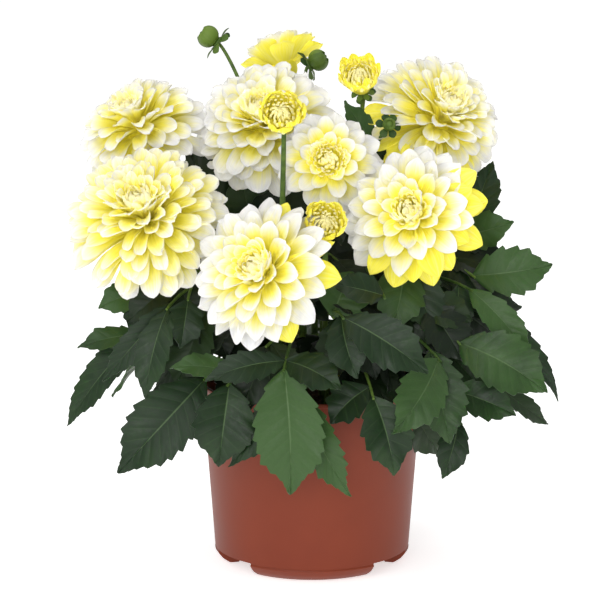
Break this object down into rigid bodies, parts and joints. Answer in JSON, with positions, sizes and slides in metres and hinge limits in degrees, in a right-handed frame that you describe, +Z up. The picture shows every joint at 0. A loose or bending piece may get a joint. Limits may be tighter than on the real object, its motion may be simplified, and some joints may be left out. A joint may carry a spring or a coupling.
{
  "type": "potted dahlia",
  "caption": "Dahlia in a round tapered nursery pot: leafy stems in soil carry layered white and yellow blooms, opening buds and green buds.",
  "frame": {"origin": "on the ground, under the centre of the pot, which is also the centre of the whole plant's box", "axes": "+Z up along the pot's axis, -Y towards the front, where most blooms face, and +X to the right of someone who looks at the front"},
  "size_m": [0.3631, 0.3204, 0.4065],
  "materials": {
    "pot": "terracotta-coloured moulded plastic, satin",
    "soil": "dark, damp, crumbly potting compost",
    "foliage": "dark green leaf, softly glossy, with pale veins",
    "petals": "soft satin petal, white at the tip and yellow at the base",
    "bud_petals": "soft satin petal, lemon yellow"
  },
  "bodies": {
    "root": {"pot": "pot", "soil": "soil", "stem_left_large": "foliage", "stem_front": "foliage", "stem_right": "foliage", "stem_right_top": "foliage", "stem_middle_top": "foliage", "stem_left_top": "foliage", "stem_centre_small": "foliage", "stem_back_cupped": "foliage", "stem_bud_right": "foliage", "stem_bud_middle": "foliage", "stem_bud_front": "foliage", "bloom_left_large": "petals", "bloom_front": "petals", "bloom_right": "petals", "bloom_right_top": "petals", "bloom_middle_top": "petals", "bloom_left_top": "petals", "bloom_centre_small": "petals", "bloom_back_cupped": "petals", "opening_bud_right": "bud_petals", "opening_bud_middle": "bud_petals", "opening_bud_front": "bud_petals"}
  },
  "joints": []
}
